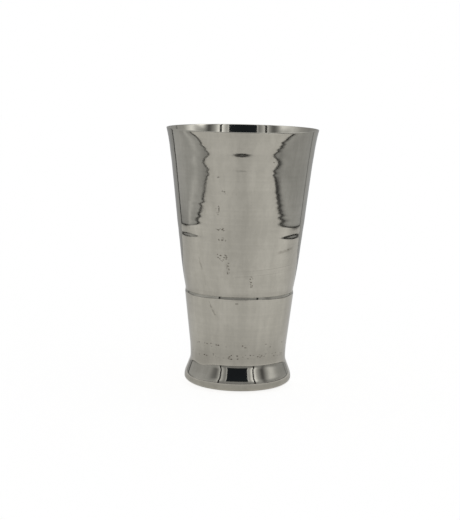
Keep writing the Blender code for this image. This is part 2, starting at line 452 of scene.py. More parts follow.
def buffed_steel(name, roughness, rings, pits, scratches, marks, dark_bands):
    """Bright buffed steel: faint rings, dulled patches, brown pits and fine scratches over one metal.

    rings holds the rings per metre and their depth in metres. pits and scratches list each field's values,
    marks lists each lone mark's strength and values, and dark_bands lists a height, a reach and a strength
    for each darkened band round the glass.
    """
    material = bpy.data.materials.new(name)
    material.use_nodes = True
    tree = material.node_tree
    shader = tree.nodes["Principled BSDF"]
    shader.inputs["Metallic"].default_value = 1.0
    ring_count, ring_depth = rings
    ring_height = finish(tree, buffing_rings, rings=ring_count, waver=RING_WAVER)
    haze = finish(tree, handling_haze, **HAZE)
    smears = finish(tree, handling_haze, **SMEARS)
    blotches = finish(tree, handling_haze, **BLOTCHES)
    pit_mask = strongest(tree, [finish(tree, pit_specks, **field) for field in pits])
    scratch_mask = strongest(tree, [finish(tree, hand_scratches, **field) for field in scratches])
    worn = reckon(tree, "MULTIPLY", ring_height, RING_SHARE)
    for dulling, share in ((smears, SMEAR_SHARE), (haze, HAZE_SHARE), (blotches, BLOTCH_SHARE)):
        worn = reckon(tree, "MULTIPLY_ADD", dulling, share, worn)
    metal = mixed(tree, worn, (*STEEL_COLOUR, 1), (*DULL_STEEL_COLOUR, 1))
    stain_and_shade = reckon(tree, "MULTIPLY", pit_mask, PIT_STRENGTH)
    stain_and_shade = reckon(tree, "MULTIPLY_ADD", scratch_mask, SCRATCH_STRENGTH, stain_and_shade)
    # Lone marks: scratches and smears, and on the tumbler a painted dark reflection.
    for strength, mark in marks:
        stain_and_shade = reckon(tree, "MULTIPLY_ADD", finish(tree, lone_marks, **mark), strength, stain_and_shade)
    for height, reach, strength in dark_bands:
        band = finish(tree, darkened_band, height=height, reach=reach)
        stain_and_shade = reckon(tree, "MULTIPLY_ADD", band, strength, stain_and_shade)
    tree.links.new(mixed(tree, stain_and_shade, metal, (*PIT_AND_SHADE_COLOUR, 1)), shader.inputs["Base Color"])
    rough = reckon(tree, "MULTIPLY_ADD", haze, HAZE_ROUGHNESS, roughness)
    rough = reckon(tree, "MULTIPLY_ADD", scratch_mask, SCRATCH_ROUGHNESS, rough)
    rough = reckon(tree, "MULTIPLY_ADD", pit_mask, PIT_ROUGHNESS, rough)
    tree.links.new(rough, shader.inputs["Roughness"])
    normal = bumped(tree, ring_height, ring_depth)
    normal = bumped(tree, reckon(tree, "MULTIPLY", scratch_mask, -1), SCRATCH_DEPTH, normal)
    normal = bumped(tree, reckon(tree, "MULTIPLY", pit_mask, -1), PIT_DEPTH, normal)
    tree.links.new(normal, shader.inputs["Normal"])
    reflections = lay(tree, "LightPath").outputs["Glossy Depth"]
    late = reckon(tree, "GREATER_THAN", reflections, LATE_REFLECTION)
    tree.links.new(metal, shader.inputs["Emission Color"])
    tree.links.new(reckon(tree, "MULTIPLY", late, LATE_GLOW), shader.inputs["Emission Strength"])
    return material


def waist_run_out(angle, radius, z):
    """The waist runs a little out of true: lower at the front than at the back, with a dip on one side."""
    turn, reach, depth = WAIST_DIP
    drop = WAIST_RUN_OUT * math.cos(angle) + depth * math.exp(-((angle - turn) / reach) ** 2 / 2)
    share = ease((z - FOOT_HEIGHT) / (WAIST_HEIGHT - FOOT_HEIGHT))
    share *= 1 - ease((z - WAIST_HEIGHT) / (RUN_OUT_TOP - WAIST_HEIGHT))
    return radius, z - drop * share


sleeve_heights = spread(SLEEVE_TOP, SLEEVE_TOP - LIP_LENGTH, WALL_STEP / 4)
sleeve_heights += spread(SLEEVE_TOP - LIP_LENGTH, WAIST_HEIGHT, WALL_STEP)[1:]
sleeve_heights += spread(WAIST_HEIGHT, ROLL_HEIGHT, WALL_STEP / 2)[1:]
sleeve_wall = [(sleeve_outside(z), z) for z in sleeve_heights]
sleeve_wall += [rolled_edge(angle) for angle in spread(0, math.pi / 2, ROUND_STEP)[1:]]
sleeve_wall += [(radius, 0.0) for radius in spread(STAND_RADIUS, STAND_RADIUS - HEM_WIDTH, WALL_STEP)[1:]]
sleeve_inside = []
for (radius, z), (inner, inner_z) in zip(sleeve_wall, offset_inward(sleeve_wall, SLEEVE_SHEET)):
    thinning = max(0.0, z - SLEEVE_TOP + JOGGLE_LENGTH) / JOGGLE_LENGTH
    thinned = radius - LIP_EDGE
    sleeve_inside.append((inner + (thinned - inner) * thinning, inner_z + (z - inner_z) * thinning))
foot_sleeve = spun_piece("foot_sleeve_shell", sleeve_wall + sleeve_inside[::-1], True)
reshape(foot_sleeve, waist_run_out)
foot_steel = buffed_steel("buffed_foot_steel", FOOT_ROUGHNESS, FOOT_RINGS, FOOT_PITS, FOOT_SCRATCHES,
                          FOOT_MARKS, FOOT_DARK_BANDS)
foot_sleeve.data.materials.append(foot_steel)
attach(foot_sleeve, "root")
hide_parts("foot_sleeve")

# Tumbler
# The drinking vessel: a disc of stainless steel drawn deep, flared at the mouth and buffed as it turned.
# Its lower wall steps in and stands inside the sleeve; the trimmed mouth edge is rounded over.

HEIGHT = 0.152
MOUTH_RADIUS = 0.0449
TUMBLER_SHEET = 0.0006
FLARE_DEPTH = 0.0012
FLARE_LENGTH = 0.024
SWAGE_DEPTH = 0.00078
SWAGE_LENGTH = 0.019
NECK_RISE = 0.0015
LIP_GAP = 0.00004
JOINT_GAP = 0.0003
FLOOR_RISE = 0.00295
FLOOR_CORNER_RADIUS = 0.004
LIP_POINTS = 7
HIDDEN_STEP = 5 * WALL_STEP
FLAT_STEP = 4 * WALL_STEP

# Rings that the drawing and spinning tools left: height in metres, tilt in degrees and spread in metres.
TOOL_RINGS = [
    (0.1515, 2.6, 0.0018),
    (0.1430, -0.7, 0.0020),
    (0.1390, -2.05, 0.0016),
    (0.1332, 0.3, 0.0010),
    (0.1300, -0.7, 0.0008),
    (0.1070, -0.45, 0.0060),
    (0.0988, -1.1, 0.0009),
    (0.0922, 2.7, 0.0030),
    (0.0912, -4.2, 0.0011),
]

# Small dents: turn from the front in radians, height in metres, tilt in degrees, and reach round the wall
# in radians and up it in metres.
DENTS = [
    (-0.005, 0.1390, -0.95, 0.066, 0.0018),
    (0.02, 0.1299, -0.4, 0.085, 0.0010),
    (0.55, 0.1462, -0.45, 0.2, 0.0007),
    (0.53, 0.1442, -0.5, 0.2, 0.0006),
    (0.50, 0.1424, -0.45, 0.2, 0.0006),
    (1.00, 0.0826, -0.9, 0.25, 0.0012),
]

# Fainter ripples, in metres: where on the wall they lie, how far apart, how high and how widely spread.
# Each is stronger on one side of the glass, by a share of its height.
RIPPLE_SEED = 11
RIPPLE_ZONE = (0.060, 0.1495)
RIPPLE_GAP = (0.0011, 0.0024)
RIPPLE_HEIGHT = 0.000003
RIPPLE_SPREAD = (0.0006, 0.0012)
RIPPLE_TURN_SHARE = 0.7

# The tumbler's own finish, worn spots, a darkened band and one painted dark reflection, listed as the
# foot's are.
TUMBLER_ROUGHNESS = 0.055
TUMBLER_RINGS = (700, 0.0000006)
TUMBLER_PITS = [
    {"turn": -0.24, "turn_reach": 0.05, "height": 0.1180, "height_reach": 0.0016, "share": 0.7},
    {"turn": -0.345, "turn_reach": 0.04, "height": 0.1070, "height_reach": 0.0040, "share": 0.6},
    {"turn": -0.30, "turn_reach": 0.10, "height": 0.0965, "height_reach": 0.0015, "share": 0.9},
    {"turn": -0.29, "turn_reach": 0.08, "height": 0.0903, "height_reach": 0.0014, "share": 0.9},
    {"turn": -0.29, "turn_reach": 0.11, "height": 0.0803, "height_reach": 0.0030, "share": 0.85},
    {"turn": -0.19, "turn_reach": 0.04, "height": 0.0745, "height_reach": 0.0050, "share": 0.7},
    {"turn": 0.205, "turn_reach": 0.04, "height": 0.0660, "height_reach": 0.0045, "share": 0.7},
    {"turn_reach": 9, "height_reach": 0.2, "share": 0.0006},
]
# A band round the joint with the sleeve, darkened unevenly: its height, reach and strength.
TUMBLER_DARK_BANDS = [(SLEEVE_TOP, 0.0035, 0.10)]
TUMBLER_SCRATCHES = [
    {"slant": -0.22, "length": 0.075, "width": 0.0016, "share": 0.006},
    {"turn": -0.66, "turn_reach": 0.10, "height": 0.071, "height_reach": 0.012,
     "slant": -0.26, "length": 0.05, "width": 0.0016, "share": 0.35},
    {"turn": 0.45, "turn_reach": 0.7, "height": 0.072, "height_reach": 0.006,
     "slant": 1.5, "length": 0.25, "width": 0.0014, "share": 0.35},
]
TUMBLER_MARKS = [
    (0.34, {"turn": -0.708, "height": 0.0753, "slant": -0.25, "length": 0.0045, "width": 0.0007}),
    # Painted reflection: a dark streak on the right of the wall, where it mirrors the dark foot of the
    # tent's right cloth.
    (0.30, {"turn": 0.84, "height": 0.0834, "slant": 1.40, "length": 0.0075, "width": 0.0014,
            "broken": 0.2}),
]


def tool_rings(z):
    """Change in radius that the tool rings add up to, going up the wall."""
    change = 0.0
    for height, tilt, reach in TOOL_RINGS:
        rise = (z - height) / (reach * math.sqrt(2))
        change += math.radians(tilt) * reach * math.sqrt(math.pi / 2) * (1 + math.erf(rise))
    return change


def tumbler_outside(z):
    """Outer radius of the tumbler: flared mouth, straight taper, swaged neck, joggle and sleeved wall."""
    joggle_foot = SLEEVE_TOP - JOGGLE_LENGTH
    neck_height = SLEEVE_TOP + NECK_RISE
    neck_radius = sleeve_outside(SLEEVE_TOP)
    edge_radius = neck_radius - LIP_EDGE - LIP_GAP
    if z <= joggle_foot:
        return sleeve_outside(z) - SLEEVE_SHEET - JOINT_GAP
    if z <= SLEEVE_TOP:
        slip_radius = tumbler_outside(joggle_foot)
        return slip_radius + (edge_radius - slip_radius) * (z - joggle_foot) / JOGGLE_LENGTH
    if z < neck_height:
        return edge_radius + (neck_radius - edge_radius) * (z - SLEEVE_TOP) / NECK_RISE
    low = neck_radius + SWAGE_DEPTH
    high = MOUTH_RADIUS - FLARE_DEPTH
    straight = low + (high - low) * (z - neck_height) / (HEIGHT - neck_height)
    flare = max(0.0, z - HEIGHT + FLARE_LENGTH) / FLARE_LENGTH
    swage = max(0.0, neck_height + SWAGE_LENGTH - z) / SWAGE_LENGTH
    return straight + FLARE_DEPTH * flare * flare - SWAGE_DEPTH * swage * swage + tool_rings(z)


def floor_corner_centre():
    """Centre of the arc between the tumbler's lower wall and its floor, on its outer side."""
    tilt = math.atan(SLEEVE_TAPER)
    height = WAIST_HEIGHT + FLOOR_RISE + FLOOR_CORNER_RADIUS
    touch = height - FLOOR_CORNER_RADIUS * math.sin(tilt)
    return tumbler_outside(touch) - FLOOR_CORNER_RADIUS * math.cos(tilt), height


def half_round(start, end, count):
    """Points of the half circle that joins a sheet's two faces over its edge, without the end points."""
    middle = ((start[0] + end[0]) / 2, (start[1] + end[1]) / 2)
    reach = (start[0] - middle[0], start[1] - middle[1])
    points = []
    for i in range(1, count + 1):
        angle = math.pi * i / (count + 1)
        along, across = math.cos(angle), math.sin(angle)
        points.append((middle[0] + reach[0] * along + reach[1] * across,
                       middle[1] + reach[1] * along - reach[0] * across))
    return points


def draw_ripples():
    """Chance heights, sizes and turns of the faint ripples, always the same ones."""
    chance = random.Random(RIPPLE_SEED)
    ripples = []
    z = RIPPLE_ZONE[0]
    while z < RIPPLE_ZONE[1]:
        ripples.append((z, chance.gauss(0, RIPPLE_HEIGHT), chance.uniform(*RIPPLE_SPREAD),
                        chance.uniform(0, 2 * math.pi)))
        z += chance.uniform(*RIPPLE_GAP)
    return ripples


ripples = draw_ripples()
ripple_sums = {}


def dented(angle, z):
    """Change in radius from the small dents: each is pushed in above its height and stands proud below."""
    change = 0.0
    for turn, height, tilt, reach_round, reach_up in DENTS:
        rise = (z - height) / reach_up
        share = math.exp(-((angle - turn) / reach_round) ** 2 / 2 - rise ** 2 / 2)
        change += math.radians(tilt) * reach_up * rise * share
    return change


def rippled(angle, radius, z):
    """Each ripple is stronger on one side of the glass; the sums for a height serve all round it."""
    if z not in ripple_sums:
        level = cosine = sine = 0.0
        for height, size, reach, turn in ripples:
            rise = size * math.exp(-((z - height) / reach) ** 2 / 2)
            level += rise
            cosine += rise * RIPPLE_TURN_SHARE * math.cos(turn)
            sine += rise * RIPPLE_TURN_SHARE * math.sin(turn)
        ripple_sums[z] = level, cosine, sine
    level, cosine, sine = ripple_sums[z]
    return radius + level + cosine * math.cos(angle) + sine * math.sin(angle) + dented(angle, z), z


corner_centre = floor_corner_centre()
mouth_slope = (tumbler_outside(HEIGHT) - tumbler_outside(HEIGHT - TUMBLER_SHEET)) / TUMBLER_SHEET
lip_drop = TUMBLER_SHEET / 2 * (1 + math.sin(math.atan(mouth_slope)))
tumbler_heights = spread(HEIGHT - lip_drop, SLEEVE_TOP + 2 * NECK_RISE, WALL_STEP)
tumbler_heights += spread(SLEEVE_TOP + 2 * NECK_RISE, SLEEVE_TOP, WALL_STEP / 4)[1:]
tumbler_heights += spread(SLEEVE_TOP, SLEEVE_TOP - JOGGLE_LENGTH, WALL_STEP)[1:]
tumbler_heights += spread(SLEEVE_TOP - JOGGLE_LENGTH, corner_centre[1], HIDDEN_STEP)[1:]
tumbler_wall = [(tumbler_outside(z), z) for z in tumbler_heights]
for angle in spread(math.atan(SLEEVE_TAPER), math.pi / 2, 2 * ROUND_STEP):
    tumbler_wall.append((corner_centre[0] + FLOOR_CORNER_RADIUS * math.cos(angle),
                         corner_centre[1] - FLOOR_CORNER_RADIUS * math.sin(angle)))
floor_height = corner_centre[1] - FLOOR_CORNER_RADIUS
tumbler_wall += [(radius, floor_height) for radius in spread(corner_centre[0], 0.0, FLAT_STEP)[1:]]
tumbler_inside = offset_inward(tumbler_wall, TUMBLER_SHEET)
tumbler_lip = half_round(tumbler_inside[0], tumbler_wall[0], LIP_POINTS)
tumbler = spun_piece("tumbler_shell", tumbler_inside[::-1] + tumbler_lip + tumbler_wall, False)
reshape(tumbler, rippled)
tumbler_steel = buffed_steel("buffed_tumbler_steel", TUMBLER_ROUGHNESS, TUMBLER_RINGS, TUMBLER_PITS,
                             TUMBLER_SCRATCHES, TUMBLER_MARKS, TUMBLER_DARK_BANDS)
tumbler.data.materials.append(tumbler_steel)
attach(tumbler, "root")
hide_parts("tumbler")

# Floor weld
# The bead that fixes the tumbler's floor corner to the sleeve's waist, run round before the base goes on.
# It is bare weld steel: rippled where each drop set, and browned by the heat.

WELD_RADIUS = 0.0008
WELD_RIPPLES = 118
WELD_RIPPLE_DEPTH = 0.00005
WELD_POINTS = 14
WELD_STEPS = 4 * WELD_RIPPLES
WELD_COLOUR = (0.34, 0.33, 0.31)
WELD_TINT = (0.22, 0.15, 0.09)
WELD_ROUGHNESS = 0.38
WELD_HEAT = {"patches": 220, "upright": 1}
WELD_HEAT_ROUGHNESS = 0.2

weld_ring = WAIST_RADIUS - SLEEVE_SHEET - JOINT_GAP - WELD_RADIUS
weld_reach = FLOOR_CORNER_RADIUS + JOINT_GAP + WELD_RADIUS
weld_height = corner_centre[1] - math.sqrt(weld_reach ** 2 - (weld_ring - corner_centre[0]) ** 2)


def weld_ripples(angle, radius, z):
    """Draw the bead in between the drops, towards its own middle."""
    drop = 1 - WELD_RIPPLE_DEPTH / WELD_RADIUS * (1 - abs(math.sin(WELD_RIPPLES * angle / 2)))
    return weld_ring + (radius - weld_ring) * drop, weld_height + (z - weld_height) * drop


weld_outline = []
for i in range(WELD_POINTS):
    angle = 2 * math.pi * i / WELD_POINTS
    weld_outline.append((weld_ring + WELD_RADIUS * math.cos(angle),
                         weld_height + WELD_RADIUS * math.sin(angle)))
floor_weld = spun_piece("floor_weld_bead", weld_outline, True, WELD_STEPS)
reshape(floor_weld, weld_ripples)
bead_steel = bpy.data.materials.new("browned_weld_steel")
bead_steel.use_nodes = True
tree = bead_steel.node_tree
shader = tree.nodes["Principled BSDF"]
shader.inputs["Metallic"].default_value = 1.0
heat = finish(tree, handling_haze, **WELD_HEAT)
tree.links.new(mixed(tree, heat, (*WELD_COLOUR, 1), (*WELD_TINT, 1)), shader.inputs["Base Color"])
rough = reckon(tree, "MULTIPLY_ADD", heat, WELD_HEAT_ROUGHNESS, WELD_ROUGHNESS)
tree.links.new(rough, shader.inputs["Roughness"])
floor_weld.data.materials.append(bead_steel)
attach(floor_weld, "root")
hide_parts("floor_weld")

# Base plate
# The disc that closes the foot: pressed from stainless sheet with a raised middle, its rim turned up
# inside the rolled edge that holds it. It is left satin, with the rings of the tool that faced it.

PLATE_SHEET = 0.0006
PLATE_RIM_ANGLE = math.radians(35)
PANEL_RADIUS = 0.0155
PANEL_STEP = 0.003
PANEL_RISE = 0.0012
PANEL_POINTS = 12
FACING_RINGS = 2600
FACING_WAVER = 25
FACING_SHARE = 0.5
FACING_DEPTH = 0.000002
PLATE_COLOUR = (0.55, 0.54, 0.51)
PLATE_DULL_COLOUR = (0.42, 0.41, 0.385)
PLATE_ROUGHNESS = 0.22
PLATE_HAZE = {"patches": 90, "upright": 1}
PLATE_HAZE_SHARE = 0.5
PLATE_HAZE_ROUGHNESS = 0.12
PLATE_SCUFFS = {"slant": 0.9, "length": 0.04, "width": 0.0012, "share": 0.06}
PLATE_SCUFF_ROUGHNESS = 0.15

plate_run = [rolled_edge(angle) for angle in spread(PLATE_RIM_ANGLE, math.pi / 2, ROUND_STEP)]
plate_run += [(radius, 0.0) for radius in spread(STAND_RADIUS, PANEL_RADIUS + PANEL_STEP, WALL_STEP)[1:]]
plate_faces = []
for depth in (SLEEVE_SHEET + JOINT_GAP, SLEEVE_SHEET + JOINT_GAP + PLATE_SHEET):
    face = offset_inward(plate_run, depth)
    for t in spread(0, 1, 1 / PANEL_POINTS)[1:]:
        face.append((PANEL_RADIUS + PANEL_STEP * (1 - t), depth + PANEL_RISE * ease(t)))
    face += [(radius, depth + PANEL_RISE) for radius in spread(PANEL_RADIUS, 0.0, FLAT_STEP)[1:]]
    plate_faces.append(face)
plate_below, plate_above = plate_faces
base_plate = spun_piece("base_plate_disc", plate_above[::-1] + plate_below, False)
satin_steel = bpy.data.materials.new("satin_base_steel")
satin_steel.use_nodes = True
tree = satin_steel.node_tree
shader = tree.nodes["Principled BSDF"]
shader.inputs["Metallic"].default_value = 1.0
facing = finish(tree, buffing_rings, rings=FACING_RINGS, waver=FACING_WAVER, across=1)
haze = finish(tree, handling_haze, **PLATE_HAZE)
scuffs = finish(tree, hand_scratches, **PLATE_SCUFFS)
dulled = reckon(tree, "MULTIPLY", facing, FACING_SHARE)
dulled = reckon(tree, "MULTIPLY_ADD", haze, PLATE_HAZE_SHARE, dulled)
metal = mixed(tree, dulled, (*PLATE_COLOUR, 1), (*PLATE_DULL_COLOUR, 1))
tree.links.new(metal, shader.inputs["Base Color"])
rough = reckon(tree, "MULTIPLY_ADD", haze, PLATE_HAZE_ROUGHNESS, PLATE_ROUGHNESS)
rough = reckon(tree, "MULTIPLY_ADD", scuffs, PLATE_SCUFF_ROUGHNESS, rough)
tree.links.new(rough, shader.inputs["Roughness"])
tree.links.new(bumped(tree, facing, FACING_DEPTH), shader.inputs["Normal"])
base_plate.data.materials.append(satin_steel)
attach(base_plate, "root")
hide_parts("base_plate")

# Floor
# A plain pale sheet that the glass stands on. It shows white to the camera and keeps the soft shadow.
# In the steel it is a soft grey with painted light and shade: painted shade before the tent's opening and
# towards the back, the glass's painted shadow close to the foot, and painted light beside it and towards
# the right.

FLOOR_HALF = 3.0
FLOOR_FINE_HALF = 0.52
FLOOR_STEP = 0.013
FLOOR_DIFFUSE = 0.8
FLOOR_CAMERA_GLOW = 0.80
FLOOR_GLOSSY_GLOW = 0.455
# Painted shade before the tent's opening and towards the back, and painted light beside the glass and
# towards the right.
FRONT_LOSS = 0.085
FRONT_MIDDLE = (0.01, 0.11)
FRONT_START = (-0.08, -0.26)
BACK_LOSS = 0.11
BACK_SKEW = 0.1
BACK_START = (0.02, 0.15)
SIDE_GAIN = 0.05
SIDE_MIDDLE = (-0.04, 0.06)
SIDE_START = (0.15, 0.25)
RIGHT_GAIN = 0.035
RIGHT_START = (-0.02, 0.18)
# The glass's painted shadow on the floor, seen only in the steel: wide round the foot, and narrow and dark
# where it stands.
FOOT_LOSS = 0.15
FOOT_LOSS_REACH = (0.13, 0.06)
CONTACT_LOSS = 0.14
CONTACT_REACH = (0.029, 0.026)


def bell(value, middle, reach):
    """A soft rise to 1 at the middle, and down again beyond its reach."""
    return math.exp(-((value - middle) / reach) ** 2)


def ramp(value, start, end):
    """Smooth rise from 0 at start to 1 at end."""
    return ease((value - start) / (end - start))


def stage_sheet(name, rows, glow, tint=(1, 1, 1)):
    """A stage sheet over rows of points, lit in one tint by a rule for each point."""
    points = [point for row in rows for point in row]
    width = len(rows[0])
    faces = []
    for row in range(len(rows) - 1):
        for start in range(row * width, row * width + width - 1):
            faces.append((start, start + 1, start + width + 1, start + width))
    mesh = bpy.data.meshes.new(name)
    mesh.from_pydata(points, [], faces)
    light = mesh.color_attributes.new("glow", "FLOAT_COLOR", "POINT")
    for place, point in zip(light.data, points):
        value = glow(*point)
        place.color = (*(value * share for share in tint), 1)
    sheet = bpy.data.objects.new(name, mesh)
    bpy.context.scene.collection.objects.link(sheet)
    return sheet


def floor_glow(x, y, z):
    """How bright the floor shows in the steel, away from the foot: painted shade in front and behind, and
    painted light beside and to the right.
    """
    in_front = bell(x, *FRONT_MIDDLE) * ramp(y, *FRONT_START)
    behind = ramp(y + BACK_SKEW * x, *BACK_START)
    beside = bell(y, *SIDE_MIDDLE) * ramp(abs(x), *SIDE_START)
    rightward = ramp(x, *RIGHT_START)
    return (FLOOR_GLOSSY_GLOW - FRONT_LOSS * in_front - BACK_LOSS * behind + SIDE_GAIN * beside
            + RIGHT_GAIN * rightward)


floor_lines = [-FLOOR_HALF] + spread(-FLOOR_FINE_HALF, FLOOR_FINE_HALF, FLOOR_STEP) + [FLOOR_HALF]
floor = stage_sheet("studio_floor", [[(x, y, 0) for x in floor_lines] for y in floor_lines], floor_glow)
floor_paint = bpy.data.materials.new("pale_floor")
floor_paint.use_nodes = True
tree = floor_paint.node_tree
shader = tree.nodes["Principled BSDF"]
shader.inputs["Base Color"].default_value = (FLOOR_DIFFUSE, FLOOR_DIFFUSE, FLOOR_DIFFUSE, 1)
shader.inputs["Roughness"].default_value = 1.0
shader.inputs["Specular IOR Level"].default_value = 0.0
shader.inputs["Emission Color"].default_value = (1, 1, 1, 1)
path = lay(tree, "LightPath").outputs
place = lay(tree, "SeparateXYZ", [(0, tree.nodes.new("ShaderNodeTexCoord").outputs["Object"])]).outputs
radius = turn_and_radius(tree, place["X"], place["Y"])[1]
glow = lay(tree, "VertexColor", layer_name="glow").outputs["Color"]
# Painted shadow of the glass round its foot, seen only in the steel.
glow = reckon(tree, "MULTIPLY_ADD", between(tree, radius, *FOOT_LOSS_REACH), -FOOT_LOSS, glow)
glow = reckon(tree, "MULTIPLY_ADD", between(tree, radius, *CONTACT_REACH), -CONTACT_LOSS, glow)
seen = reckon(tree, "MAXIMUM", path["Is Camera Ray"], path["Is Transmission Ray"])
mirrored = reckon(tree, "MULTIPLY", path["Is Glossy Ray"], glow)
strength = reckon(tree, "MULTIPLY_ADD", seen, FLOOR_CAMERA_GLOW, mirrored)
tree.links.new(strength, shader.inputs["Emission Strength"])
floor.data.materials.append(floor_paint)

# Light tent
# Soft cloth walls round the glass, with a dark opening at the front and thin posts at the corners.
# The camera looks through them, and the polished steel shows them.

TENT_FRONT = -0.46
TENT_BACK = 0.335
FRONT_LEFT = (-0.396, -0.44)
FRONT_RIGHT = (0.375, -0.455)
BACK_LEFT = (-0.346, TENT_BACK)
BACK_RIGHT = (0.338, TENT_BACK)
TENT_TOP = 0.75
TENT_STEP = 0.02
ALONG_STEP = 0.01
LOW_STEP = 0.003
LOW_TOP = 0.06
# Heights of the dark strips of painted shade at the foot of the cloths, where the cloths begin.
SHADE_STRIP_HEIGHT = 0.007
RIGHT_SHADE_STRIP_HEIGHT = 0.0095
FRONT_SHADE_STRIP_HEIGHT = 0.012
OPENING_LEFT = (-0.21, TENT_FRONT)
OPENING_RIGHT = (0.203, TENT_FRONT)
OPENING_FOOT = 0.14
OPENING_HEAD = 0.6
FRONT_POST_WIDTH = 0.048
BACK_POST_WIDTH = 0.042
POST_INSET = 0.004
LEFT_BACK_POST_TOP = 0.16

# How bright each cloth is, and its soft patches of light or shade: gain, place and reach along the cloth,
# and the heights between which the patch comes in.
ALL_ALONG = (0.0, 9.0)
FROM_FLOOR = (-0.02, -0.01)
LEFT_CLOTH = 0.405
LEFT_PATCHES = [
    (0.075, *ALL_ALONG, 0.02, 0.055),
    (0.06, -0.13, 0.07, *FROM_FLOOR),
    (-0.06, -0.13, 0.07, 0.04, 0.09),
    (-0.05, -0.235, 0.09, *FROM_FLOOR),
    (-0.07, -0.235, 0.09, 0.05, 0.13),
    (-0.12, -0.245, 0.11, 0.13, 0.23),
    (0.36, -0.45, 0.05, 0.05, 0.13),
    (0.36, 0.02, 0.09, 0.14, 0.34),
    (-0.12, -0.30, 0.06, 0.22, 0.28),
    (0.70, -0.11, 0.07, 0.25, 0.33),
    (-0.15, 0.335, 0.15, 0.10, 0.18),
    (-0.11, 0.30, 0.14, *FROM_FLOOR),
    (0.11, 0.30, 0.14, 0.01, 0.03),
]
RIGHT_CLOTH = 0.475
RIGHT_PATCHES = [
    (-0.16, *ALL_ALONG, *FROM_FLOOR),
    (0.16, *ALL_ALONG, 0.0095, 0.019),
    (-0.08, *ALL_ALONG, 0.015, 0.045),
    (0.025, *ALL_ALONG, 0.06, 0.10),
    (-0.14, -0.21, 0.055, *FROM_FLOOR),
    (-0.08, -0.21, 0.055, 0.03, 0.09),
    (-0.09, -0.215, 0.09, 0.13, 0.23),
    (0.78, -0.44, 0.08, 0.08, 0.18),
    (0.46, -0.055, 0.075, 0.04, 0.16),
    (-0.46, -0.055, 0.075, 0.13, 0.23),
    (0.46, 0.045, 0.075, 0.13, 0.23),
    (0.22, 0.04, 0.06, 0.08, 0.16),
    (1.60, -0.075, 0.06, 0.27, 0.34),
    (-0.12, -0.15, 0.06, *FROM_FLOOR),
    (0.12, -0.15, 0.06, 0.01, 0.025),
]
BACK_CLOTH = 0.38
BACK_PATCHES = [
    (0.10, *ALL_ALONG, 0.20, 0.60),
    (0.027, 0.34, 0.35, *FROM_FLOOR),
    (-0.027, -0.34, 0.35, *FROM_FLOOR),
]
LEFT_FLAP_CLOTH = 0.29
LEFT_FLAP_PATCHES = [
    (0.38, -0.35, 0.06, 0.08, 0.20),
    (0.40, -0.212, 0.016, 0.08, 0.20),
]
RIGHT_FLAP_CLOTH = 0.33
RIGHT_FLAP_PATCHES = [
    (0.12, *ALL_ALONG, 0.08, 0.20),
    (0.95, 0.34, 0.06, 0.08, 0.22),
    (0.45, 0.206, 0.016, 0.08, 0.20),
]
SILL_GLOW = 0.30
OPENING_GLOW = 0.018
HEADER_GLOW = 0.6

# Painted shade: the dark strips along the floor at the foot of each cloth, the left one with painted light
# below its cloth's crease; and then the posts.
LEFT_SHADE_STRIP_GLOW = 0.03
LEFT_SHADE_STRIP_PATCHES = [
    (0.29, 0.04, 0.06, *FROM_FLOOR),
]
RIGHT_SHADE_STRIP_GLOW = 0.03
FRONT_SHADE_STRIP_GLOW = 0.005
BACK_SHADE_STRIP_GLOW = 0.3
FRONT_POST_GLOW = 0.01
LEFT_BACK_POST_GLOW = 0.03
RIGHT_BACK_POST_GLOW = 0.22
ROOF_GLOW = 0.95
CLOTH_TINT = (1.0, 1.015, 1.035)
OPENING_TINT = (1.0, 1.2, 1.45)

# A bright bowed crease low on the left cloth: the place and height of its top, its bow and width, and where
# along the cloth it comes in and fades.
CREASE_GAIN = 0.17
CREASE_TOP = (-0.05, 0.031)
CREASE_BOW = 1.0
CREASE_WIDTH = 0.009
CREASE_FRONT = (-0.13, -0.05)
CREASE_BACK = (0.06, 0.14)

cloth = bpy.data.materials.new("tent_cloth")
cloth.use_nodes = True
tree = cloth.node_tree
tree.nodes.remove(tree.nodes["Principled BSDF"])
lit = lay(tree, "Emission", [("Color", lay(tree, "VertexColor", layer_name="glow").outputs["Color"])])
tree.links.new(lit.outputs["Emission"], tree.nodes["Material Output"].inputs["Surface"])


def tent_sheet(name, rows, glow, tint=CLOTH_TINT):
    """One glowing sheet of the tent, seen only in the steel."""
    sheet = stage_sheet(name, rows, glow, tint)
    sheet.visible_camera = False
    sheet.visible_diffuse = False
    sheet.visible_shadow = False
    sheet.visible_transmission = False
    sheet.data.materials.append(cloth)


def tent_heights(foot, head):
    """Heights of an upright sheet's rows of points, closer together near the floor."""
    low = spread(foot, min(head, LOW_TOP), LOW_STEP) if foot < LOW_TOP else [foot]
    high = spread(max(foot, LOW_TOP), head, TENT_STEP)[1:] if head > LOW_TOP else []
    return low + high


def tent_wall(name, start, end, foot, head, glow, tint=CLOTH_TINT):
    """An upright sheet from one point on the floor plan to another."""
    shares = spread(0, 1, ALONG_STEP / math.dist(start, end))
    plan = [(start[0] + (end[0] - start[0]) * t, start[1] + (end[1] - start[1]) * t) for t in shares]
    tent_sheet(name, [[(x, y, z) for x, y in plan] for z in tent_heights(foot, head)], glow, tint)


def even(value):
    """A rule for a sheet that is equally bright all over."""
    def rule(x, y, z):
        return value
    return rule


def patched(value, patches, axis):
    """A rule for a cloth with patches of light and shade placed along one axis, 0 for X or 1 for Y."""
    def rule(*point):
        along, z = point[axis], point[2]
        return value + sum(gain * bell(along, place, reach) * ramp(z, low, high)
                           for gain, place, reach, low, high in patches)
    return rule


left_cloth = patched(LEFT_CLOTH, LEFT_PATCHES, 1)


def creased_left(x, y, z):
    """The left cloth with its bright crease."""
    top = CREASE_TOP[1] - CREASE_BOW * (y - CREASE_TOP[0]) ** 2
    crease = bell(z, top, CREASE_WIDTH) * ramp(y, *CREASE_FRONT) * (1 - ramp(y, *CREASE_BACK))
    return left_cloth(x, y, z) + CREASE_GAIN * crease


